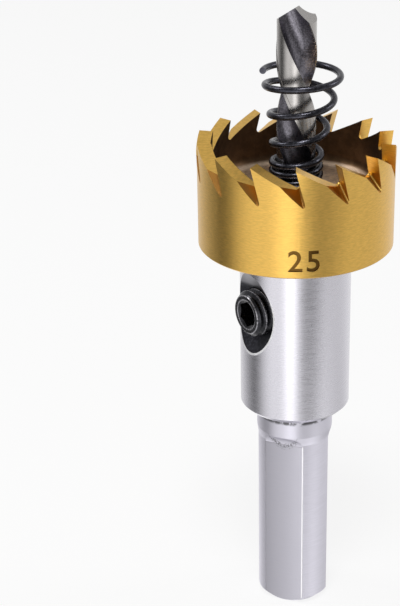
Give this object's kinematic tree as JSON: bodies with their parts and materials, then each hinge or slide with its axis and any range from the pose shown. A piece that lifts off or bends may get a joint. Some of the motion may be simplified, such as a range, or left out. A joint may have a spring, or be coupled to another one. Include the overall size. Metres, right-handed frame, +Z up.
{
  "type": "hole saw",
  "caption": "Small gold-coated hole saw: toothed steel cup on a turned arbor with a flatted shank, a spiral pilot drill, a black ejector spring and a clamping grub screw.",
  "frame": {"origin": "centre of the shank's end face", "axes": "+Z up the saw's axis from the shank to the point of the pilot drill; -Y is the front"},
  "size_m": [0.025, 0.025, 0.0825],
  "materials": {
    "arbor_steel": "satin, turned and ground",
    "gold_coating": "satin, titanium nitride coated",
    "drill_steel": "ground lands, dark flutes",
    "black_oxide": "black oxide, oiled",
    "spring_steel": "black, oiled"
  },
  "bodies": {
    "arbor": {"arbor": "arbor_steel", "cutter_cup": "gold_coating", "ejector_spring": "spring_steel"},
    "pilot_drill": {"pilot_drill": "drill_steel"},
    "grub_screw": {"grub_screw": "black_oxide"}
  },
  "joints": [
    {"name": "pilot_slide", "type": "slide", "parent": "arbor", "child": "pilot_drill", "axis": [0, 0, 1], "range_m": [0, 0.0055]},
    {"name": "screw_travel", "type": "slide", "parent": "arbor", "child": "grub_screw", "axis": [-0.809, -0.5878, 0], "range_m": [0, 0.002]}
  ]
}
